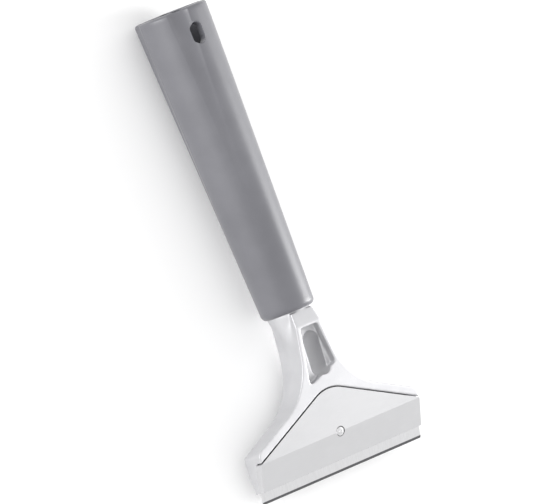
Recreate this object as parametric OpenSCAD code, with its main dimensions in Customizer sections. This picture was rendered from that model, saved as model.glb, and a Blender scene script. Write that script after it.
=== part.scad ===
/* [Handle] */
// Length of the plastic handle
handle_len = 160; // [140:1:200]
// Outer diameter at the open end
handle_top_d = 38; // [36:0.5:44]
// Outer diameter at the end that holds the head
handle_low_d = 28; // [27:0.5:32]
// Radius that rounds the edge next to the head
handle_end_round = 3; // [1:0.5:4]
// Radius that rounds the rim of the open end
rim_round = 1.5; // [0.5:0.1:2]
// Diameter of the straight part of the pole socket
pole_bore_d = 25; // [20:0.5:26]
// Diameter of the mouth of the pole socket
pole_mouth_d = 29; // [27:0.5:30]
// Depth of the tapered part of the pole socket
pole_taper_len = 45; // [20:1:60]
// Length of the straight part of the pole socket
pole_bore_len = 58; // [40:1:60]
// Diameter of the room for the shank screw, below the pole's stop
screw_room_d = 20; // [16:0.5:22]
// Length of the room for the shank screw
screw_room_len = 8; // [7:0.5:12]

/* [Handle flutes and hang hole] */
// Number of flutes round the handle
flute_count = 4; // [3:1:5]
// Angle that one flute spans at the open end
flute_span = 35; // [25:1:40]
// Radius of the hollow of a flute
flute_r = 10; // [8:0.5:16]
// Length of a flute, from the open end to its point
flute_len = 122; // [80:1:130]
// Angle from the front to the middle of the first flute
flute_turn = 20; // [0:1:45]
// Width of the hang hole
hang_w = 6.4; // [5:0.2:8]
// Length of the hang hole, along the handle
hang_len = 11; // [9:0.5:16]
// Distance from the open end to the middle of the hang hole
hang_drop = 14; // [12:0.5:25]

/* [Shank joint inside the handle] */
// Diameter of the shank of the head
shank_d = 18; // [15:0.5:19]
// Distance between the two flats on the shank
shank_flats = 16; // [14:0.5:18]
// Length of the shank inside the handle
shank_len = 42; // [30:1:45]
// Clearance round the shank
shank_gap = 0.1; // [0.05:0.05:0.3]
// Depth of the counterbore that takes the end of the neck
neck_seat = 3; // [2:0.5:5]
// Clearance round the neck in its counterbore
neck_gap = 0.4; // [0.2:0.1:0.6]
// Diameter of the shank screw
shank_screw_d = 5; // [4:0.5:6]
// How far the shank screw goes into the shank
shank_screw_len = 17; // [12:1:24]
// Diameter of the washer under the shank screw's head
shank_washer_d = 14; // [12:0.5:15]
// Thickness of that washer
shank_washer_t = 1.5; // [1:0.1:2.5]

/* [Head] */
// Diameter of the neck
neck_d = 23; // [20:0.5:25]
// Half width of the neck's flat sides near the handle
neck_side = 7.6; // [6:0.1:9]
// Angle at which the neck's flat sides flare
neck_flare = 8; // [5:1:12]
// Length over which the round neck narrows to its flat sides
neck_cone_len = 26; // [20:1:32]
// Radius of the hollow between the neck and a wing
wing_fillet = 34; // [20:1:38]
// Width of the rim beside the jaw
rim_w = 4.2; // [3:0.2:6]
// Radius of the outer corner of a wing
wing_corner = 3; // [1:0.5:4]
// Depth of the pocket in the front
pocket_depth = 4.5; // [2:0.5:6]
// Distance from the handle's end to the top of the pocket
pocket_drop = 9; // [8:0.5:12]
// Width of the pocket at its top
pocket_top_w = 11; // [8:0.5:12]
// Width of the pocket at its bottom
pocket_low_w = 17.8; // [14:0.2:20]
// Length of the pocket's shorter side
pocket_short = 22; // [18:0.5:24]
// Length of the pocket's longer side
pocket_long = 27.5; // [20:0.5:29]
// Width of the slot through the pocket
slot_w = 9.2; // [6:0.2:10]
// Length of the slot through the pocket
slot_len = 23; // [14:0.5:24]
// Distance from the handle's end to the middle of the slot
slot_drop = 23; // [20:0.5:26]
// How far the slot's middle is to the side of the head's centre line
slot_side = 1.5; // [0:0.1:2]

/* [Jaw] */
// Width of the jaw, the head and the blade
jaw_w = 100; // [80:1:125]
// Distance from the handle's end to the fold of the jaw
fold_drop = 63.7; // [60:0.5:80]
// Height of the fold above the handle's axis
fold_rise = 4; // [2:0.5:7]
// Distance from the fold to the lower edge of the jaw, along the handle
lip_drop = 13.5; // [12:0.5:18]
// Slope of the face above the fold
upper_pitch = 9; // [6:1:12]
// Slope of the face below the fold
lower_pitch = 31; // [26:1:34]
// Thickness of the jaw's lip at the blade
lip_t = 2.2; // [1.6:0.1:3]
// Thickness of the jaw's upper part
jaw_t = 3.5; // [3:0.1:4.5]
// Angle of the jaw's two upper edges
jaw_slope = 25.5; // [20:0.5:28]
// Radius of the jaw's top corner
jaw_top_r = 18; // [8:1:24]
// Gap between the jaw and the rim of its seat
jaw_gap = 0.6; // [0.3:0.1:1]

/* [Blade] */
// Width of the blade, from its edge to its back
blade_w = 17.5; // [16:0.5:18]
// Thickness of the blade
blade_t = 0.8; // [0.4:0.1:1.2]
// How far the blade stands out of the jaw
blade_out = 6.5; // [4:0.5:9]
// Slope of the blade
blade_pitch = 20; // [16:1:24]
// Length of the ground edge
edge_len = 1.6; // [0.8:0.2:3]
// Clearance on each side of the blade
blade_gap = 0.1; // [0.05:0.05:0.2]

/* [Clamp screw] */
// Diameter of the clamp stud
stud_d = 5; // [4:0.5:6]
// Clearance between the back of the blade and the stud
stud_clear = 0.4; // [0.3:0.1:1]
// Clearance between the stud and what turns or slides on it
running_gap = 0.06; // [0.02:0.01:0.1]
// Diameter of the thumb nut
nut_d = 20; // [16:0.5:24]
// Number of grooves round the thumb nut
nut_grooves = 18; // [12:1:24]
// Diameter of the nut's hub, which enters the recess
nut_hub_d = 12; // [10:0.5:12.5]
// Height of the nut's hub
nut_hub_h = 1; // [0.5:0.1:1.4]
// Diameter of the recess behind the head that holds the washers
recess_d = 15; // [13:0.5:17]
// Depth of that recess
recess_depth = 2.5; // [1.5:0.5:3]
// Diameter of the flat washer
washer_d = 11; // [9:0.5:12]
// Thickness of the flat washer
washer_t = 1; // [0.8:0.1:1.5]
// Diameter of the spring washer
spring_d = 9; // [8:0.5:11]
// Thickness of the spring washer
spring_t = 1.2; // [1:0.1:1.6]

/* [Hidden] */
$fn = 96;
cut = 1;                // how far a cutting shape runs past what it cuts
arc_steps = 8;
end_gap = 0.5;          // gap at the end of the shank, and between the stud's end and the nut's
neck_end_gap = 0.3;     // gap above the neck in its counterbore
seat_gap = 0.2;         // gap between the jaw's upper part and its seat
washer_gap = 0.4;       // how much wider a washer's hole is than its screw
thread_gap = 0.1;       // how much thinner the shank screw is than its hole
split_w = 0.8;          // width of the spring washer's split
split_turn = 30;        // slant of the split
groove_r = 1.2;         // radius of a groove of the nut
groove_out = 0.4;       // how far outside the nut a groove's centre is
pocket_r = 1.5;         // corner radius of the pocket
screw_head_h = 4;
tip_room = 6;           // depth of the shank's hole past the screw's tip
socket_floor = 1.5;     // what the hex socket leaves of the screw's head
edge_share = 0.25;      // share of the blade's thickness that is left at its edge

// Tool coordinates: y = 0 at the handle's lower end, z = 0 on the handle's axis.
half_w = jaw_w / 2;
fold_y = -fold_drop;
lip_y = fold_y - lip_drop;
lip_z = fold_rise - lip_drop * tan(lower_pitch);
blade_z = lip_z - lip_t / cos(blade_pitch);      // blade's front face at the lip
edge_y = lip_y - blade_out * cos(blade_pitch);
blade_in = blade_w - blade_out;
stud_y = lip_y + blade_in * cos(blade_pitch) + (blade_t + blade_gap / 2) * sin(blade_pitch)
    + stud_clear + stud_d / 2;                         // the stud stands right behind the blade
back_z = -neck_d / 2;
stop_y = handle_len - pole_taper_len - pole_bore_len;  // step that stops the pole
web_y = stop_y - screw_room_len;                       // top of the web in the handle
axis_h = handle_top_d / 2;
mid_y = (handle_len + edge_y) / 2;
nut_top_z = back_z + recess_depth - washer_t - spring_t;
nut_low_z = -axis_h;
far = handle_len + fold_drop;

function front_z(y) = fold_rise + (y - fold_y) * tan(upper_pitch);
function seat_z(y) = blade_z + (y - lip_y) * tan(blade_pitch);
function arc(cx, cy, r, a0, a1) =
    [for (i = [0 : arc_steps]) let (a = a0 + (a1 - a0) * i / arc_steps) [cx + r * cos(a), cy + r * sin(a)]];

// where the jaw's back turns from the blade's slope to the upper face's slope
back_turn_y = (fold_rise - fold_y * tan(upper_pitch) - jaw_t - blade_z + lip_y * tan(blade_pitch))
    / (tan(blade_pitch) - tan(upper_pitch));

// the row's frame: bottom centre of the tool lying on its back
module place() translate([0, -mid_y, axis_h]) children();
// an outline in x and y, extruded through the full depth of the tool
module through() translate([0, 0, -2 * axis_h]) linear_extrude(height = 4 * axis_h) children();
// a profile in y and z, extruded along x
module across(w) translate([-w / 2, 0, 0]) rotate([90, 0, 90]) linear_extrude(height = w) children();
// a solid of revolution about the handle's axis, its profile in radius and y
module along_handle() rotate([-90, 0, 0]) rotate_extrude() children();
module rod(d, y0, y1) translate([0, y0, 0]) rotate([-90, 0, 0]) cylinder(h = y1 - y0, d = d);
module post(d, z0, z1) translate([0, stud_y, z0]) cylinder(h = z1 - z0, d = d);

module shank_shape(gap, y0, y1) {
    intersection() {
        rod(shank_d + 2 * gap, y0, y1);
        translate([-shank_flats / 2 - gap, y0 - cut, -shank_d])
            cube([shank_flats + 2 * gap, y1 - y0 + 2 * cut, 2 * shank_d]);
    }
}

// ---- handle ----
module handle_outline() {
    low_r = handle_low_d / 2;
    top_r = handle_top_d / 2;
    polygon(concat([[0, 0]],
        arc(low_r - handle_end_round, handle_end_round, handle_end_round, -90, 0),
        arc(top_r - rim_round, handle_len - rim_round, rim_round, 0, 90),
        [[0, handle_len]]));
}

module flutes() {
    half = flute_span / 2;
    top_r = handle_top_d / 2;
    end_y = handle_len - flute_len;
    end_r = handle_low_d / 2 + (top_r - handle_low_d / 2) * end_y / handle_len;
    top_off = top_r * cos(half) + sqrt(pow(flute_r, 2) - pow(top_r * sin(half), 2));
    end_off = end_r + flute_r;
    lean = atan((top_off - end_off) / flute_len);
    for (i = [0 : flute_count - 1])
        rotate([0, i * 360 / flute_count - flute_turn, 0])
            translate([0, handle_len, top_off])
                rotate([90 - lean, 0, 0])
                    translate([0, 0, -flute_r])
                        cylinder(h = flute_len + 2 * flute_r, r = flute_r);
}

module obround(w, len, y) {
    for (side = [-1, 1])
        translate([0, y + side * (len - w) / 2]) circle(d = w);
    translate([-w / 2, y - (len - w) / 2]) square([w, len - w]);
}

module handle_grip() color([0.50, 0.50, 0.53]) place() difference() {
    along_handle() handle_outline();
    flutes();
    rod(pole_bore_d, stop_y, handle_len + cut);
    rod(screw_room_d, web_y, stop_y + cut);
    translate([0, handle_len - pole_taper_len, 0]) rotate([-90, 0, 0])
        cylinder(h = pole_taper_len, d1 = pole_bore_d, d2 = pole_mouth_d);
    rod(shank_screw_d + 1, -cut, handle_len);
    shank_shape(shank_gap, -cut, shank_len);
    rod(neck_d + 2 * neck_gap, -cut, neck_seat);
    through() obround(hang_w, hang_len, handle_len - hang_drop);
}

// ---- head ----
wing_y = fold_y + (rim_w + jaw_gap) / cos(jaw_slope);      // top edge of a wing at its outer end
neck_top = 0.5;                                        // the flat front starts this far below the handle
side_top = 8;                                          // where the neck's flat sides have their stated width
corner_x = (neck_side + (-side_top - wing_y - half_w * tan(jaw_slope)) * tan(neck_flare))
    / (1 - tan(jaw_slope) * tan(neck_flare));
corner_y = wing_y + (half_w - corner_x) * tan(jaw_slope);
corner_turn = 180 - (90 + neck_flare + jaw_slope);      // angle that is left of a half turn at the corner
fillet_reach = wing_fillet * tan(corner_turn / 2);

neck_tangent = [corner_x - fillet_reach * sin(neck_flare), corner_y + fillet_reach * cos(neck_flare)];
wing_tangent = [corner_x + fillet_reach * cos(jaw_slope), corner_y - fillet_reach * sin(jaw_slope)];

// one side of the head's outline, from the centre line out to a wing
module head_side() {
    difference() {
        polygon([[0, -neck_top], [neck_side - (side_top - neck_top) * tan(neck_flare), -neck_top],
            neck_tangent, wing_tangent, [half_w, wing_y], [half_w, lip_y], [0, lip_y]]);
        translate(neck_tangent + wing_fillet * [cos(neck_flare), sin(neck_flare)])
            circle(r = wing_fillet, $fn = 180);
        corner_cut();
    }
}

// rounds the outer corner of a wing
module corner_cut() {
    reach = wing_corner * tan((90 - jaw_slope) / 2);
    middle = [half_w - wing_corner, wing_y - reach];
    difference() {
        polygon([middle, [half_w + cut, middle[1]], [half_w + cut, wing_y + wing_corner],
            middle + (wing_corner + cut) * [sin(jaw_slope), cos(jaw_slope)]]);
        translate(middle) circle(r = wing_corner);
    }
}

module head_profile() {
    polygon([[-neck_top, back_z], [-neck_top, neck_d / 2], [-side_top, front_z(-side_top)],
        [fold_y, fold_rise], [lip_y, lip_z], [lip_y, back_z]]);
}

module jaw_outline(gap) {
    peak_y = fold_y + half_w * tan(jaw_slope) + gap / cos(jaw_slope);
    top_r = jaw_top_r + gap;
    tangent_x = top_r * sin(jaw_slope);
    tangent_y = peak_y - tangent_x * tan(jaw_slope);
    side = half_w + (gap > 0 ? cut : 0);
    side_y = peak_y - side * tan(jaw_slope);
    low_y = lip_y - (gap > 0 ? cut : 0);
    polygon([[-side, low_y], [side, low_y], [side, side_y], [tangent_x, tangent_y],
        [-tangent_x, tangent_y], [-side, side_y]]);
    difference() {
        translate([0, tangent_y - top_r * cos(jaw_slope)]) circle(r = top_r, $fn = 180);
        translate([-2 * top_r, tangent_y - 2.5 * top_r]) square([4 * top_r, 2.5 * top_r]);
    }
}

// the pocket's lower edge slants from one side to the other
module pocket_outline() {
    top_x = pocket_top_w / 2 - pocket_r;
    low_x = pocket_low_w / 2 - pocket_r;
    hull() {
        for (side = [-1, 1]) translate([side * top_x, -pocket_drop - pocket_r]) circle(r = pocket_r, $fn = 32);
        translate([low_x, -pocket_drop - pocket_short + pocket_r]) circle(r = pocket_r, $fn = 32);
        translate([-low_x, -pocket_drop - pocket_long + pocket_r]) circle(r = pocket_r, $fn = 32);
    }
}

module pocket() {
    intersection() {
        through() pocket_outline();
        across(jaw_w) polygon([[0, front_z(0) - pocket_depth], [fold_y, fold_rise - pocket_depth],
            [fold_y, far], [0, far]]);
    }
}

// the seat of the jaw: its outline with a gap, down to the jaw's back
module jaw_seat() {
    intersection() {
        through() jaw_outline(jaw_gap);
        across(jaw_w + 4 * cut) polygon([[lip_y - cut, seat_z(lip_y - cut) - blade_gap],
            [back_turn_y, seat_z(back_turn_y) - seat_gap], [0, front_z(0) - jaw_t - seat_gap],
            [0, far], [lip_y - cut, far]]);
    }
}

// the land under the blade, open at both ends so that the blade slides out
module blade_land() {
    depth = blade_t + 2 * blade_gap;
    translate([0, lip_y, blade_z]) rotate([blade_pitch, 0, 0])
        translate([-half_w - cut, -blade_w, -depth])
            cube([jaw_w + 2 * cut, blade_w + blade_in + blade_gap, depth + blade_gap]);
}

module head_casting() color([0.83, 0.83, 0.85]) place() difference() {
    union() {
        intersection() {
            through() union() {
                head_side();
                mirror([1, 0]) head_side();
            }
            across(jaw_w + cut) head_profile();
        }
        rod(neck_d, -neck_top - cut, neck_seat - neck_end_gap);
        translate([0, -neck_top - cut, 0]) rotate([90, 0, 0])
            cylinder(h = neck_cone_len, d1 = neck_d, d2 = 2 * neck_side);
        shank_shape(0, 0, shank_len - end_gap);
    }
    jaw_seat();
    blade_land();
    pocket();
    through() translate([slot_side, 0]) obround(slot_w, slot_len, -slot_drop);
    post(stud_d + 2 * running_gap, -far, far);
    post(recess_d, -far, back_z + recess_depth);
    rod(shank_screw_d, shank_len - shank_screw_len - tip_room, far);
}

// ---- jaw, blade and clamp screw ----
module jaw_profile() {
    polygon([[lip_y, lip_z], [fold_y, fold_rise], [0, front_z(0)], [0, front_z(0) - jaw_t],
        [back_turn_y, seat_z(back_turn_y)], [lip_y, blade_z]]);
}

module clamp_jaw() color([0.86, 0.86, 0.88]) place() difference() {
    intersection() {
        through() jaw_outline(0);
        across(jaw_w) jaw_profile();
    }
    post(stud_d, -far, far);
}

module scraper_blade() color([0.84, 0.84, 0.86]) place()
    translate([0, lip_y, blade_z]) rotate([blade_pitch, 0, 0])
        across(jaw_w) polygon([[-blade_out, -blade_gap / 2 - blade_t], [-blade_out, -blade_gap / 2 - blade_t * (1 - edge_share)],
            [edge_len - blade_out, -blade_gap / 2], [blade_in, -blade_gap / 2],
            [blade_in, -blade_gap / 2 - blade_t]]);

module clamp_stud() color([0.80, 0.80, 0.83]) place() difference() {
    post(stud_d, nut_low_z + end_gap, fold_rise + stud_d);
    translate([0, fold_y, fold_rise]) rotate([(upper_pitch + lower_pitch) / 2, 0, 0])
        translate([-stud_d, -2 * stud_d, 0]) cube([2 * stud_d, 4 * stud_d, 4 * stud_d]);
}

module thumb_nut() color([0.72, 0.72, 0.74]) place() difference() {
    union() {
        post(nut_d, nut_low_z, nut_top_z - nut_hub_h);
        post(nut_hub_d, nut_low_z, nut_top_z);
    }
    post(stud_d + 2 * running_gap, -far, far);
    for (i = [0 : nut_grooves - 1])
        translate([0, stud_y, 0]) rotate([0, 0, i * 360 / nut_grooves])
            translate([nut_d / 2 + groove_out, 0, -far]) cylinder(h = 2 * far, r = groove_r, $fn = 24);
}

module ring(d, hole, z0, z1) {
    difference() {
        post(d, z0, z1);
        post(hole, z0 - cut, z1 + cut);
    }
}

module flat_washer() color([0.78, 0.78, 0.80]) place()
    ring(washer_d, stud_d + washer_gap, nut_top_z + spring_t, nut_top_z + spring_t + washer_t);

module spring_washer() color([0.60, 0.60, 0.62]) place() difference() {
    ring(spring_d, stud_d + washer_gap, nut_top_z, nut_top_z + spring_t);
    translate([0, stud_y, nut_top_z + spring_t / 2]) rotate([0, split_turn, 0])
        translate([0, -spring_d / 2, 0]) cube([split_w, spring_d, 4 * spring_t], center = true);
}

// ---- screw that holds the handle on the shank ----
module shank_washer() color([0.70, 0.70, 0.72]) place() difference() {
    rod(shank_washer_d, web_y, web_y + shank_washer_t);
    rod(shank_screw_d + washer_gap, web_y - cut, web_y + shank_washer_t + cut);
}

module shank_screw() color([0.62, 0.62, 0.65]) place() difference() {
    union() {
        rod(shank_screw_d - thread_gap, shank_len - shank_screw_len, web_y + shank_washer_t + cut);
        rod(2 * shank_screw_d, web_y + shank_washer_t, web_y + shank_washer_t + screw_head_h);
    }
    translate([0, web_y + shank_washer_t + socket_floor, 0]) rotate([-90, 0, 0])
        cylinder(h = screw_head_h, d = shank_screw_d, $fn = 6);
}

handle_grip();
head_casting();
clamp_jaw();
scraper_blade();
clamp_stud();
thumb_nut();
flat_washer();
spring_washer();
shank_screw();
shank_washer();
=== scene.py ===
import math

import bmesh
import bpy
import numpy as np
from mathutils import Matrix, Vector


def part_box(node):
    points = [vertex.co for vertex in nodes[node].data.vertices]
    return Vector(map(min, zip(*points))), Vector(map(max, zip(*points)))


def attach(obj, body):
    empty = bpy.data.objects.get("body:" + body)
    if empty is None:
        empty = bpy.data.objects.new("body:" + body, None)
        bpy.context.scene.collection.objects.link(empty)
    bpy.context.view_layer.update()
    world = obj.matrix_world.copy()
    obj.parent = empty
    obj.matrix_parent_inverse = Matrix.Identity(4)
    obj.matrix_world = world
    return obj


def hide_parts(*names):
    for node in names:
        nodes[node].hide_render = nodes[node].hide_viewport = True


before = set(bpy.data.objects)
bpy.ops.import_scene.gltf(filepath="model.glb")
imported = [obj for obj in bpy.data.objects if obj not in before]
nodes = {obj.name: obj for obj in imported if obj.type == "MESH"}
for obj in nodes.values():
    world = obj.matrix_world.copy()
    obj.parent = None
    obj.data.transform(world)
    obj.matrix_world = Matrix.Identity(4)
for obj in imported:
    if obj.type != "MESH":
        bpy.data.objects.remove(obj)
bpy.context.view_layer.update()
scene = bpy.context.scene
mm = 0.001
print("stage: frame loaded")


# places that several pieces share; the handle's axis runs along Y
gripLow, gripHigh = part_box("handle_grip")
studLow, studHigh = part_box("clamp_stud")
axisHeight = (gripLow.z + gripHigh.z) / 2
studY = (studLow.y + studHigh.y) / 2


# a socket that takes part in sums: each operator adds a Math node
class Wire:
    def __init__(self, graph, socket):
        self.graph = graph
        self.socket = socket

    def sum(self, operation, first, second):
        return self.graph.node("ShaderNodeMath", {"operation": operation}, {0: first, 1: second})

    def __add__(self, other):
        return self.sum("ADD", self, other)

    def __radd__(self, other):
        return self.sum("ADD", other, self)

    def __sub__(self, other):
        return self.sum("SUBTRACT", self, other)

    def __rsub__(self, other):
        return self.sum("SUBTRACT", other, self)

    def __mul__(self, other):
        return self.sum("MULTIPLY", self, other)

    def __rmul__(self, other):
        return self.sum("MULTIPLY", other, self)


# a material with one Principled shader
class Finish:
    def __init__(self, name, **fixed):
        self.material = bpy.data.materials.new(name)
        self.material.use_nodes = True
        self.tree = self.material.node_tree
        self.shader = self.tree.nodes["Principled BSDF"]
        for socket, value in fixed.items():
            self.shader.inputs[socket.replace("_", " ")].default_value = value

    def node(self, kind, settings=None, sockets=None, out=0):
        made = self.tree.nodes.new(kind)
        for key, value in (settings or {}).items():
            if key == "stops":
                ramp = made.color_ramp
                while len(ramp.elements) < len(value):
                    ramp.elements.new(0.5)
                for element, (place, shade) in zip(ramp.elements, value):
                    element.position = place
                    element.color = (shade, shade, shade, 1)
            else:
                setattr(made, key, value)
        for key, value in (sockets or {}).items():
            self.put(made.inputs[key], value)
        return Wire(self, made.outputs[out])

    def put(self, socket, value):
        if isinstance(value, Wire):
            self.tree.links.new(value.socket, socket)
        else:
            socket.default_value = value

    def drive(self, name, value):
        self.put(self.shader.inputs[name], value)

    # noise in object space; squeeze narrows it along X, Y and Z, so that it makes lines the other way
    def noise(self, scale, detail=4.0, rough=0.55, squeeze=(1, 1, 1)):
        place = self.node("ShaderNodeTexCoord", out="Object")
        place = self.node("ShaderNodeMapping", sockets={"Vector": place, "Scale": squeeze})
        return self.node("ShaderNodeTexNoise", sockets={"Vector": place, "Scale": scale, "Detail": detail,
                                                        "Roughness": rough})

    def ramp(self, value, *stops):
        return self.node("ShaderNodeValToRGB", {"stops": stops}, {"Fac": value})

    # each of the two is a colour or a socket that carries one
    def blend(self, share, first, second):
        first, second = (c if isinstance(c, Wire) else (*c, 1) for c in (first, second))
        return self.node("ShaderNodeMix", {"data_type": "RGBA"}, {0: share, 6: first, 7: second}, 2)

    def relief(self, height, distance, strength=1.0):
        sockets = {"Height": height, "Distance": distance, "Strength": strength}
        self.drive("Normal", self.node("ShaderNodeBump", sockets=sockets))

    def attribute(self, name):
        return self.node("ShaderNodeAttribute", {"attribute_name": name}, out="Fac")


softStops = ((0.35, 0), (0.65, 1))  # where noise turns from its dark shade to its light one


plastic = {
    "light": (0.150, 0.150, 0.166), "dark": (0.134, 0.134, 0.149),
    "coat": 0.3, "coatRoughness": 0.3,
    "roughness": 0.30, "cloudRoughness": 0.10, "grainRoughness": 0.06,
    "cloudScale": 45, "grainScale": 2600, "rippleScale": 900, "rippleShare": 0.4,
    "grainDepth": 0.03 * mm, "grainStrength": 0.35,
}


def mouldedPlastic():
    p = plastic
    f = Finish("mouldedPlastic", Specular_IOR_Level=0.5, Coat_Weight=p["coat"],
               Coat_Roughness=p["coatRoughness"])
    cloud = f.noise(p["cloudScale"], 3)
    grain = f.noise(p["grainScale"], 2)
    f.drive("Base Color", f.blend(f.ramp(cloud, *softStops), p["dark"], p["light"]))
    f.drive("Roughness", p["roughness"] + p["cloudRoughness"] * cloud + p["grainRoughness"] * grain)
    f.relief(grain + p["rippleShare"] * f.noise(p["rippleScale"], 2), p["grainDepth"], p["grainStrength"])
    return f.material


casting = {
    "light": (0.615, 0.615, 0.628), "dark": (0.56, 0.56, 0.575), "worn": (0.74, 0.74, 0.75),
    "metallic": 0.85, "roughness": 0.46, "skinRoughness": 0.12, "wornPolish": 0.14,
    "cloudScale": 70, "cloudStops": ((0.3, 0), (0.7, 1)), "skinScale": 1500, "skinGrain": 0.65,
    "dimpleScale": 420, "dimpleShare": 0.5,
    "skinDepth": 0.06 * mm, "skinStrength": 0.5,
}


def castAluminium():
    c = casting
    f = Finish("castAluminium", Metallic=c["metallic"], Specular_IOR_Level=0.5)
    cloud = f.noise(c["cloudScale"], 4)
    skin = f.noise(c["skinScale"], 5, c["skinGrain"])
    wear = f.attribute("edgeWear")
    base = f.blend(f.ramp(cloud, *c["cloudStops"]), c["dark"], c["light"])
    f.drive("Base Color", f.blend(wear, base, c["worn"]))
    f.drive("Roughness", c["roughness"] + c["skinRoughness"] * skin - c["wornPolish"] * wear)
    f.relief(skin + c["dimpleShare"] * f.noise(c["dimpleScale"], 3), c["skinDepth"], c["skinStrength"])
    return f.material


linished = {
    "light": (0.635, 0.635, 0.646), "dark": (0.605, 0.605, 0.616),
    "metallic": 0.85, "roughness": 0.27, "lineRoughness": 0.14,
    "lineScale": 160, "lineGrain": 0.7, "lineSqueeze": (1, 22, 22), "lineShare": 0.6,
    "cloudScale": 60, "cloudShare": 0.4, "lineDepth": 0.02 * mm, "lineStrength": 0.5,
}


def linishedAluminium():
    d = linished
    f = Finish("linishedAluminium", Metallic=d["metallic"], Specular_IOR_Level=0.5)
    lines = f.noise(d["lineScale"], 4, d["lineGrain"], d["lineSqueeze"])
    cloud = f.noise(d["cloudScale"], 3)
    tone = f.ramp(lines * d["lineShare"] + cloud * d["cloudShare"], *softStops)
    f.drive("Base Color", f.blend(tone, d["dark"], d["light"]))
    f.drive("Roughness", d["roughness"] + d["lineRoughness"] * lines)
    f.relief(lines, d["lineDepth"], d["lineStrength"])
    return f.material


# each steel has a shade, and how far its noise is squeezed along X, Y and Z
steel = {
    "groundSteel": {"shade": (0.70, 0.70, 0.71), "squeeze": (22, 1, 1)},    # the blade
    # painted shadow: the near-black steel below stands in for the shadow under the blade's edge and the
    # shadow line along the jaw's lip
    "honedEdge": {"shade": (0.13, 0.13, 0.135), "squeeze": (22, 1, 1)},     # its facet and the jaw's lip
    "turnedSteel": {"shade": (0.74, 0.74, 0.75), "squeeze": (1, 1, 24)},    # the stud and the thumb nut
    "platedSteel": {"shade": (0.62, 0.62, 0.62), "squeeze": (12, 12, 12)},  # the washers and the screw
    "darkShare": 0.88, "roughness": 0.28, "lineRoughness": 0.16, "lineScale": 220, "lineGrain": 0.7,
    "lineDepth": 0.015 * mm, "lineStrength": 0.5,
}


def brushedSteel(name):
    d = steel
    shade = d[name]["shade"]
    f = Finish(name, Metallic=1.0)
    lines = f.noise(d["lineScale"], 4, d["lineGrain"], d[name]["squeeze"])
    dark = tuple(c * d["darkShare"] for c in shade)
    f.drive("Base Color", f.blend(f.ramp(lines, *softStops), dark, shade))
    f.drive("Roughness", d["roughness"] + d["lineRoughness"] * lines)
    f.relief(lines, d["lineDepth"], d["lineStrength"])
    return f.material


plasticFinish = mouldedPlastic()
castFinish = castAluminium()
jawFinish = linishedAluminium()
bladeFinish = brushedSteel("groundSteel")
# near-black steel that paints the shadow on the blade's ground facet and on the jaw's lip end
paintedShadowFinish = brushedSteel("honedEdge")
turnedFinish = brushedSteel("turnedSteel")
platedFinish = brushedSteel("platedSteel")
print("stage: finishes made")


def makePiece(name, mesh, material, body, slotName, *replaced):
    piece = bpy.data.objects.new(name, mesh)
    scene.collection.objects.link(piece)
    mesh.materials.clear()
    mesh.materials.append(material)
    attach(piece, body)
    if replaced:
        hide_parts(*replaced)
    return piece


def shadeByAngle(mesh, degrees):
    mesh.polygons.foreach_set("use_smooth", [True] * len(mesh.polygons))
    mesh.set_sharp_from_angle(angle=math.radians(degrees))


# rings are (radius for each angle, place along the axis); angle 0 is the front, and it grows towards +X
def ringMesh(name, rings, turns, capped=False):
    angles = np.linspace(0, 2 * math.pi, turns, endpoint=False)
    points = []
    for radius, along in rings:
        radius = np.broadcast_to(radius, angles.shape)  # a round ring gives one number
        ring = [radius * np.sin(angles), np.full(turns, along), radius * np.cos(angles)]
        points.append(np.stack(ring, 1))
    faces = []
    count = len(rings)
    for i in range(count - 1 if capped else count):
        a, b = i * turns, (i + 1) % count * turns
        for j in range(turns):
            k = (j + 1) % turns
            faces.append((a + j, b + j, b + k, a + k))
    if capped:
        faces.append(tuple(range(turns)))
        faces.append(tuple(range((count - 1) * turns, count * turns))[::-1])
    mesh = bpy.data.meshes.new(name)
    mesh.from_pydata(np.concatenate(points).tolist(), [], faces)
    bm = bmesh.new()
    bm.from_mesh(mesh)
    bmesh.ops.recalc_face_normals(bm, faces=bm.faces)
    bm.to_mesh(mesh)
    bm.free()
    return mesh


clean = {"weld": 0.002 * mm, "flat": 0.5}  # points closer than weld join, and faces flatter than flat too


def cleanCopy(nodeName, name):
    mesh = nodes[nodeName].data.copy()
    mesh.name = name
    bm = bmesh.new()
    bm.from_mesh(mesh)
    bmesh.ops.remove_doubles(bm, verts=bm.verts, dist=clean["weld"])
    bmesh.ops.dissolve_limit(bm, angle_limit=math.radians(clean["flat"]), verts=bm.verts, edges=bm.edges)
    bmesh.ops.recalc_face_normals(bm, faces=bm.faces)
    bm.to_mesh(mesh)
    bm.free()
    return mesh


def withModifiers(mesh, *modifiers):
    holder = bpy.data.objects.new(mesh.name + "Holder", mesh)
    scene.collection.objects.link(holder)
    for kind, settings in modifiers:
        modifier = holder.modifiers.new(kind, kind)
        for key, value in settings.items():
            setattr(modifier, key, value)
    bpy.context.view_layer.update()
    made = bpy.data.meshes.new_from_object(holder.evaluated_get(bpy.context.evaluated_depsgraph_get()))
    made.name = mesh.name
    bpy.data.objects.remove(holder)
    return made


def bevelled(nodeName, name, sizes):
    mesh = withModifiers(cleanCopy(nodeName, name), (
        "BEVEL", {"width": sizes["bevel"], "segments": sizes["bevelSteps"], "limit_method": "ANGLE",
                  "angle_limit": math.radians(sizes["bevelAbove"]), "harden_normals": False}))
    shadeByAngle(mesh, sizes["smoothBelow"])
    return mesh


def smoothStep(value, low, high):
    t = np.clip((value - low) / (high - low), 0, 1)
    return t * t * (3 - 2 * t)


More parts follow.
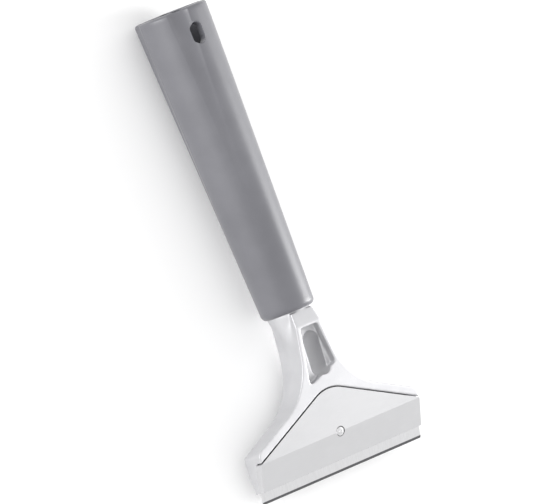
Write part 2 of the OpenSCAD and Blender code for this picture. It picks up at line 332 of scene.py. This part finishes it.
# the taper, flutes and hole are measured from the open end, and seatDepth and seatLip from the low end
handle = {
    "turns": 360, "ringStep": 1.4 * mm, "roundSteps": 6, "smoothBelow": 38,
    "lowRadius": 14 * mm, "endRound": 3 * mm, "rimRound": 1.6 * mm,
    "mouthRound": 1.4 * mm, "mouthSteps": 5, "mouthRadius": 14.5 * mm,
    "taperLength": 45 * mm, "taperRings": 12, "boreRadius": 12.5 * mm, "boreLength": 58 * mm,
    "roomRadius": 10 * mm, "roomLength": 8 * mm, "webThickness": 7 * mm, "screwHole": 3 * mm,
    "shankRadius": 9.1 * mm, "neckSeat": 11.9 * mm, "seatDepth": 3 * mm, "seatLip": 0.6 * mm,
    "flutes": 4, "fluteTurn": 20, "fluteHalf": 17.5, "fluteRadius": 10 * mm, "fluteLength": 122 * mm,
    "edgeSoft": 0.25 * mm,
    "holeWidth": 6.4 * mm, "holeLength": 11 * mm, "holeDrop": 14 * mm, "holeSteps": 48,
    "holeFlare": 0.8 * mm, "flareSink": 0.4 * mm, "plugOver": 4 * mm,
}


def flutedRadius(radius, fromEnd, angles):
    share = 1 - fromEnd / handle["fluteLength"]
    if share <= 0.001:
        return np.full(angles.shape, radius)
    half = math.radians(handle["fluteHalf"]) * share
    hollow = handle["fluteRadius"]
    centre = radius * math.cos(half) + math.sqrt(hollow ** 2 - (radius * math.sin(half)) ** 2)
    pitch = 2 * math.pi / handle["flutes"]
    turn = (angles + math.radians(handle["fluteTurn"]) + pitch / 2) % pitch - pitch / 2
    inside = hollow ** 2 - (centre * np.sin(turn)) ** 2
    # beside the flute there is no hollow, so its wall is put well outside
    wall = np.where(inside > 0, centre * np.cos(turn) - np.sqrt(np.maximum(inside, 0)), 2 * radius)
    soft = handle["edgeSoft"] * min(1, share * 3)
    gap = np.clip(0.5 + (wall - radius) / (2 * soft), 0, 1)
    return wall * (1 - gap) + radius * gap - soft * gap * (1 - gap)


# the angles of a quarter turn
def quarter(steps):
    return [i / steps * math.pi / 2 for i in range(steps + 1)]


def handleRings():
    h = handle
    angles = np.linspace(0, 2 * math.pi, h["turns"], endpoint=False)
    topRadius = (gripHigh.x - gripLow.x) / 2
    low, top = gripLow.y, gripHigh.y
    rings = []
    for a in quarter(h["roundSteps"]):
        inward, along = 1 - math.sin(a), 1 - math.cos(a)
        rings.append((h["lowRadius"] - h["endRound"] * inward, low + h["endRound"] * along))
    start, stop = low + h["endRound"], top - h["rimRound"]
    for y in np.linspace(start, stop, int((stop - start) / h["ringStep"]) + 1)[1:]:
        radius = h["lowRadius"] + (topRadius - h["lowRadius"]) * (y - start) / (stop - start)
        rings.append((flutedRadius(radius, top - y, angles), y))
    rim = rings[-1][0]
    for a in quarter(h["roundSteps"])[1:]:
        rings.append((rim - h["rimRound"] * (1 - math.cos(a)), stop + h["rimRound"] * math.sin(a)))
    mouth = h["mouthRadius"]
    for a in quarter(h["mouthSteps"]):
        outward, along = 1 - math.sin(a), 1 - math.cos(a)
        rings.append((mouth + h["mouthRound"] * outward, top - h["mouthRound"] * along))
    stop = top - h["taperLength"] - h["boreLength"]
    webTop = stop - h["roomLength"]
    for y in np.linspace(top - h["mouthRound"], top - h["taperLength"], h["taperRings"])[1:]:
        share = (top - y) / h["taperLength"]
        rings.append((mouth + (h["boreRadius"] - mouth) * share, y))
    rings.append((h["boreRadius"], stop))
    rings.append((h["roomRadius"], stop))
    rings.append((h["roomRadius"], webTop))
    rings.append((h["screwHole"], webTop))
    rings.append((h["screwHole"], webTop - h["webThickness"]))
    rings.append((h["shankRadius"], webTop - h["webThickness"]))
    rings.append((h["shankRadius"], low + h["seatDepth"]))
    rings.append((h["neckSeat"], low + h["seatDepth"]))
    rings.append((h["neckSeat"], low + h["seatLip"]))
    return rings


# an obround plug whose ends flare out, so that the hole it cuts has rounded edges
def hangHolePlug():
    h = handle
    surface = (gripHigh.z - gripLow.z) / 2 - h["flareSink"]
    flare = h["holeFlare"]
    levels = []
    for side in (-1, 1):
        run = []
        for a in quarter(h["roundSteps"]):
            run.append((surface - flare * (1 - math.sin(a)), flare * (1 - math.cos(a))))
        run.append((surface + h["plugOver"], flare))
        levels += [(side * z, grow) for z, grow in run]
    levels.sort()
    straight = (h["holeLength"] - h["holeWidth"]) / 2
    middle = gripHigh.y - h["holeDrop"]
    steps = h["holeSteps"]
    points, faces = [], []
    for z, grow in levels:
        for j in range(steps):
            a = 2 * math.pi * (j + 0.5) / steps
            x = (h["holeWidth"] / 2 + grow) * math.cos(a)
            y = (h["holeWidth"] / 2 + grow) * math.sin(a)
            points.append((x, middle + y + math.copysign(straight, y), axisHeight + z))
    for i in range(len(levels) - 1):
        for j in range(steps):
            k = (j + 1) % steps
            faces.append((i * steps + j, i * steps + k, (i + 1) * steps + k, (i + 1) * steps + j))
    faces.append(tuple(range(steps))[::-1])
    faces.append(tuple(range((len(levels) - 1) * steps, len(levels) * steps)))
    mesh = bpy.data.meshes.new("hangHolePlug")
    mesh.from_pydata(points, [], faces)
    plug = bpy.data.objects.new("hangHolePlug", mesh)
    scene.collection.objects.link(plug)
    return plug


def makeHandle():
    mesh = ringMesh("handleGrip", handleRings(), handle["turns"])
    mesh.transform(Matrix.Translation((0, 0, axisHeight)))
    plug = hangHolePlug()
    mesh = withModifiers(mesh, ("BOOLEAN", {"object": plug, "operation": "DIFFERENCE", "solver": "EXACT"}))
    bpy.data.objects.remove(plug)
    shadeByAngle(mesh, handle["smoothBelow"])
    return makePiece("handleGrip", mesh, plasticFinish, "head", "handle_plastic", "handle_grip")


makeHandle()
print("stage: handle made")


# slotNear, slotFar, neckEnd and the shank's two values are measured from the handle's low end
head = {
    "voxel": 0.32 * mm, "smoothBelow": 60,
    "edgePasses": 4,                             # rounds every edge a little
    "flankPasses": 45, "flankTop": 5 * mm, "flankFade": 8 * mm,
    "neckPasses": 160, "neckEnd": 30 * mm, "neckTop": 9 * mm, "neckFade": 3 * mm,
    "keepRadius": 12 * mm, "keepShare": 0.7, "studFade": 6 * mm,  # the washers' seat stays flat
    "slotMiddle": 1.5 * mm, "slotHalf": 5.6 * mm, "slotNear": 10 * mm, "slotFar": 37 * mm,
    "slotShare": 0.05,                           # how much of the rounding the slot's walls get
    "shankFrom": 2.5 * mm, "shankTo": 0.5 * mm,  # the shank inside the handle keeps its shape
    "wearSize": 0.10 * mm, "wearFrom": 0.35, "wearBlur": 3,
}


def makeHead():
    mesh = withModifiers(cleanCopy("head_casting", "headCasting"),
                         ("REMESH", {"mode": "VOXEL", "voxel_size": head["voxel"], "adaptivity": 0.0}))
    count = len(mesh.vertices)
    co = np.zeros(count * 3)
    mesh.vertices.foreach_get("co", co)
    co = co.reshape(-1, 3)
    edges = np.zeros(len(mesh.edges) * 2, int)
    mesh.edges.foreach_get("vertices", edges)
    a, b = edges.reshape(-1, 2).T
    degree = np.maximum(np.bincount(a, minlength=count) + np.bincount(b, minlength=count), 1)

    def average(values):
        total = np.bincount(a, values[b], count) + np.bincount(b, values[a], count)
        return total / degree

    def relax(points, weight, passes):
        for _ in range(passes):
            mean = np.stack([average(points[:, i]) for i in range(3)], 1)
            points = points + weight[:, None] * (mean - points)
        return points

    start = co.copy()
    x, y, z = start.T
    co = relax(co, np.full(count, 0.5), head["edgePasses"])
    # the sides and the back are rounder than the front and the jaw's seat
    below = smoothStep(axisHeight + head["flankTop"] - z, 0, head["flankFade"])
    fromGrip = gripLow.y - y
    inSlot = np.abs(x - head["slotMiddle"]) < head["slotHalf"]
    inSlot &= (fromGrip < head["slotFar"]) & (fromGrip > head["slotNear"])
    clear = smoothStep(np.hypot(x, y - studY), head["keepRadius"] * head["keepShare"], head["keepRadius"])
    upper = smoothStep(y, studY - head["studFade"], studY + head["studFade"])
    shank = 1 - smoothStep(y, gripLow.y - head["shankFrom"], gripLow.y - head["shankTo"])
    weight = 0.5 * below * clear * upper * shank * np.where(inSlot, head["slotShare"], 1)
    co = relax(co, weight, head["flankPasses"])
    # the round neck runs into the flat sides without a crease
    neck = smoothStep(y, gripLow.y - head["neckEnd"], gripLow.y - head["neckEnd"] / 2)
    sides = smoothStep(axisHeight + head["neckTop"] - z, 0, head["neckFade"])
    co = relax(co, 0.5 * neck * sides * shank * np.where(inSlot, 0, 1), head["neckPasses"])
    # where an edge stands proud of its neighbours it is rubbed brighter
    mean = np.stack([average(start[:, i]) for i in range(3)], 1)
    moved = np.linalg.norm(mean - start, axis=1) / head["wearSize"]
    wear = np.clip(moved - head["wearFrom"], 0, 1)
    for _ in range(head["wearBlur"]):
        wear = 0.5 * wear + 0.5 * average(wear)
    mesh.vertices.foreach_set("co", co.ravel())
    mesh.attributes.new("edgeWear", "FLOAT", "POINT").data.foreach_set("value", wear)
    mesh.update()
    shadeByAngle(mesh, head["smoothBelow"])
    return makePiece("headCasting", mesh, castFinish, "head", "cast_aluminium", "head_casting")


makeHead()
print("stage: head made")


# the second finish goes on the faces that a rule picks by their normal
def markFaces(mesh, finish, picks):
    mesh.materials.append(finish)
    for face in mesh.polygons:
        if picks(face.normal):
            face.material_index = 1


jaw = {"bevel": 0.55 * mm, "bevelSteps": 3, "bevelAbove": 20, "smoothBelow": 14, "lipSteep": 0.6}


def makeJaw():
    mesh = bevelled("clamp_jaw", "clampJaw", jaw)
    piece = makePiece("clampJaw", mesh, jawFinish, "jaw", "jaw_aluminium", "clamp_jaw")
    # the sawn end of the lip, over the blade, gets the near-black steel as a painted shadow line between
    # jaw and blade
    markFaces(mesh, paintedShadowFinish, lambda n: n.y < -jaw["lipSteep"])
    return piece


blade = {
    "bevel": 0.06 * mm, "bevelSteps": 2, "bevelAbove": 20, "smoothBelow": 14,
    "facetUp": 0.3, "facetSteep": 0.5,
}


def makeBlade():
    mesh = bevelled("scraper_blade", "scraperBlade", blade)
    piece = makePiece("scraperBlade", mesh, bladeFinish, "blade", "blade_steel", "scraper_blade")
    # the ground facet at the edge is the steepest face on the front; it gets the near-black steel as a
    # painted shadow under the blade's edge
    markFaces(mesh, paintedShadowFinish, lambda n: n.z > blade["facetUp"] and n.y < -blade["facetSteep"])
    return piece


# its end lies at the jaw's fold, which is foldRise above the handle's axis, and slopes with the jaw
stud = {
    "radius": 2.2 * mm, "chamfer": 0.35 * mm, "turns": 64, "smoothBelow": 35,
    "foldRise": 4 * mm, "sink": 0.15 * mm, "slope": 20, "slopedLength": 2 * mm, "tipLength": 4 * mm,
    "crownShare": 0.35, "crownRise": 0.12 * mm, "dimpleShare": 0.25, "dimpleDrop": 0.1 * mm,
}


def makeStud():
    s = stud
    low, high = studLow.z, axisHeight + s["foldRise"] - s["sink"]
    rings = [(s["radius"] - s["chamfer"], low), (s["radius"], low + s["chamfer"]),
             (s["radius"], high - s["tipLength"]), (s["radius"], high - s["chamfer"]),
             (s["radius"] - s["chamfer"], high), (s["radius"] * s["crownShare"], high + s["crownRise"]),
             (s["radius"] * s["dimpleShare"], high - s["dimpleDrop"])]
    mesh = ringMesh("clampStud", rings, s["turns"], capped=True)
    # stand the ring axis upright, then slope the visible end to the jaw's face
    mesh.transform(Matrix.Rotation(math.radians(90), 4, "X"))
    for v in mesh.vertices:
        if v.co.z > high - s["slopedLength"]:
            v.co.z += v.co.y * math.tan(math.radians(s["slope"]))
    mesh.transform(Matrix.Translation((0, studY, 0)))
    shadeByAngle(mesh, s["smoothBelow"])
    return makePiece("clampStud", mesh, turnedFinish, "jaw", "stud_steel", "clamp_stud")


nut = {
    "grooves": 18, "grooveDepth": 0.8 * mm, "grooveShape": 0.7, "turns": 360, "smoothBelow": 30,
    "chamfer": 0.7 * mm, "shoulderIn": 0.2, "shoulderUp": 0.4,
    "hub": 6 * mm, "hubHeight": 1 * mm, "bore": 2.6 * mm, "boreChamfer": 0.4 * mm,
}


def makeNut():
    n = nut
    low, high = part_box("thumb_nut")
    angles = np.linspace(0, 2 * math.pi, n["turns"], endpoint=False)
    groove = n["grooveDepth"] * np.clip(np.cos(angles * n["grooves"]), 0, 1) ** n["grooveShape"]
    outer = (high.y - low.y) / 2 - groove
    shoulder = outer - n["shoulderIn"] * n["chamfer"]
    body = high.z - n["hubHeight"]
    rings = [(n["bore"] + n["boreChamfer"], low.z), (outer - n["chamfer"], low.z),
             (shoulder, low.z + n["shoulderUp"] * n["chamfer"]), (outer, low.z + n["chamfer"]),
             (outer, body - n["chamfer"]), (shoulder, body - n["shoulderUp"] * n["chamfer"]),
             (outer - n["chamfer"], body), (n["hub"], body), (n["hub"], high.z),
             (n["bore"], high.z), (n["bore"], low.z + n["boreChamfer"])]
    mesh = ringMesh("thumbNut", rings, n["turns"])
    mesh.transform(Matrix.Rotation(math.radians(90), 4, "X"))
    mesh.transform(Matrix.Translation((0, studY, 0)))
    shadeByAngle(mesh, n["smoothBelow"])
    return makePiece("thumbNut", mesh, turnedFinish, "nut", "nut_steel", "thumb_nut")


# the washers and the screw inside the handle keep the shape they come with
def finishSmallParts():
    for name in ("flat_washer", "spring_washer", "shank_screw", "shank_washer"):
        nodes[name].data.materials.clear()
        nodes[name].data.materials.append(platedFinish)


makeJaw()
makeBlade()
makeStud()
makeNut()
finishSmallParts()
print("stage: jaw, blade, screw and washers made")


# angles in degrees; the camera aims at a point beside the handle's low end
view = {
    "yaw": 31.8, "rise": 2, "roll": 21.75, "lens": 1200, "sensor": 36, "frameWidth": 277.23 * mm,
    "aimRight": -4.5 * mm, "aimUp": 30 * mm, "clipEnd": 50,
}


def makeCamera():
    yaw, rise, roll = (math.radians(view[k]) for k in ("yaw", "rise", "roll"))
    toCamera = Vector((-math.sin(yaw) * math.cos(rise), math.sin(rise), math.cos(yaw) * math.cos(rise)))
    level = Vector((math.cos(yaw), 0, math.sin(yaw)))
    upright = toCamera.cross(level)
    right = math.cos(roll) * level - math.sin(roll) * upright
    up = math.sin(roll) * level + math.cos(roll) * upright
    data = bpy.data.cameras.new("camera")
    data.lens = view["lens"]
    data.sensor_width = view["sensor"]
    data.clip_end = view["clipEnd"]
    distance = view["frameWidth"] * data.lens / data.sensor_width
    gripEnd = Vector((0, gripLow.y, axisHeight))
    aim = gripEnd + right * view["aimRight"] + up * view["aimUp"]
    camera = bpy.data.objects.new("camera", data)
    scene.collection.objects.link(camera)
    place = Matrix((right, up, toCamera)).transposed().to_4x4()
    place.translation = aim + toCamera * distance
    camera.matrix_world = place
    scene.camera = camera
    return aim, right, up, toCamera


aim, screenRight, screenUp, toCamera = makeCamera()


ground = {
    "half": 6, "cells": 4, "drop": 0.2 * mm,
    "light": (0.95, 0.95, 0.95), "dark": (0.93, 0.93, 0.93), "roughness": 0.75, "cloudScale": 6,
}


def paleFloor():
    f = Finish("paleFloor", Roughness=ground["roughness"])
    f.drive("Base Color", f.blend(f.noise(ground["cloudScale"], 2), ground["dark"], ground["light"]))
    return f.material


def makeFloor():
    bm = bmesh.new()
    bmesh.ops.create_grid(bm, x_segments=ground["cells"], y_segments=ground["cells"], size=ground["half"])
    mesh = bpy.data.meshes.new("floor")
    bm.to_mesh(mesh)
    bm.free()
    mesh.materials.append(paleFloor())
    floor = bpy.data.objects.new("floor", mesh)
    floor.location.z = -ground["drop"]
    scene.collection.objects.link(floor)


# a lamp's way is right, up and out towards the camera, as the camera sees it
lamps = {
    "keyRight": {"way": (0.93, 0.1, -0.30), "distance": 1.1, "size": (0.35, 0.9), "power": 13},
    "lowLeft": {"way": (-0.75, 0.05, 0.65), "distance": 1.1, "size": (0.3, 0.9), "power": 9},
}
skyStrength = 0.97


def makeLamps():
    for name, lamp in lamps.items():
        data = bpy.data.lights.new(name, "AREA")
        data.shape = "RECTANGLE"
        data.size, data.size_y = lamp["size"]
        data.energy = lamp["power"]
        x, y, z = lamp["way"]
        way = (screenRight * x + screenUp * y + toCamera * z).normalized()
        light = bpy.data.objects.new(name, data)
        light.location = aim + way * lamp["distance"]
        light.rotation_euler = way.to_track_quat("Z", "Y").to_euler()
        scene.collection.objects.link(light)
    world = bpy.data.worlds.new("studio")
    world.use_nodes = True
    sky = world.node_tree.nodes["Background"]
    sky.inputs["Color"].default_value = (1, 1, 1, 1)
    sky.inputs["Strength"].default_value = skyStrength
    scene.world = world
    scene.view_settings.view_transform = "Standard"


makeFloor()
makeLamps()
print("stage: camera, floor and light made")
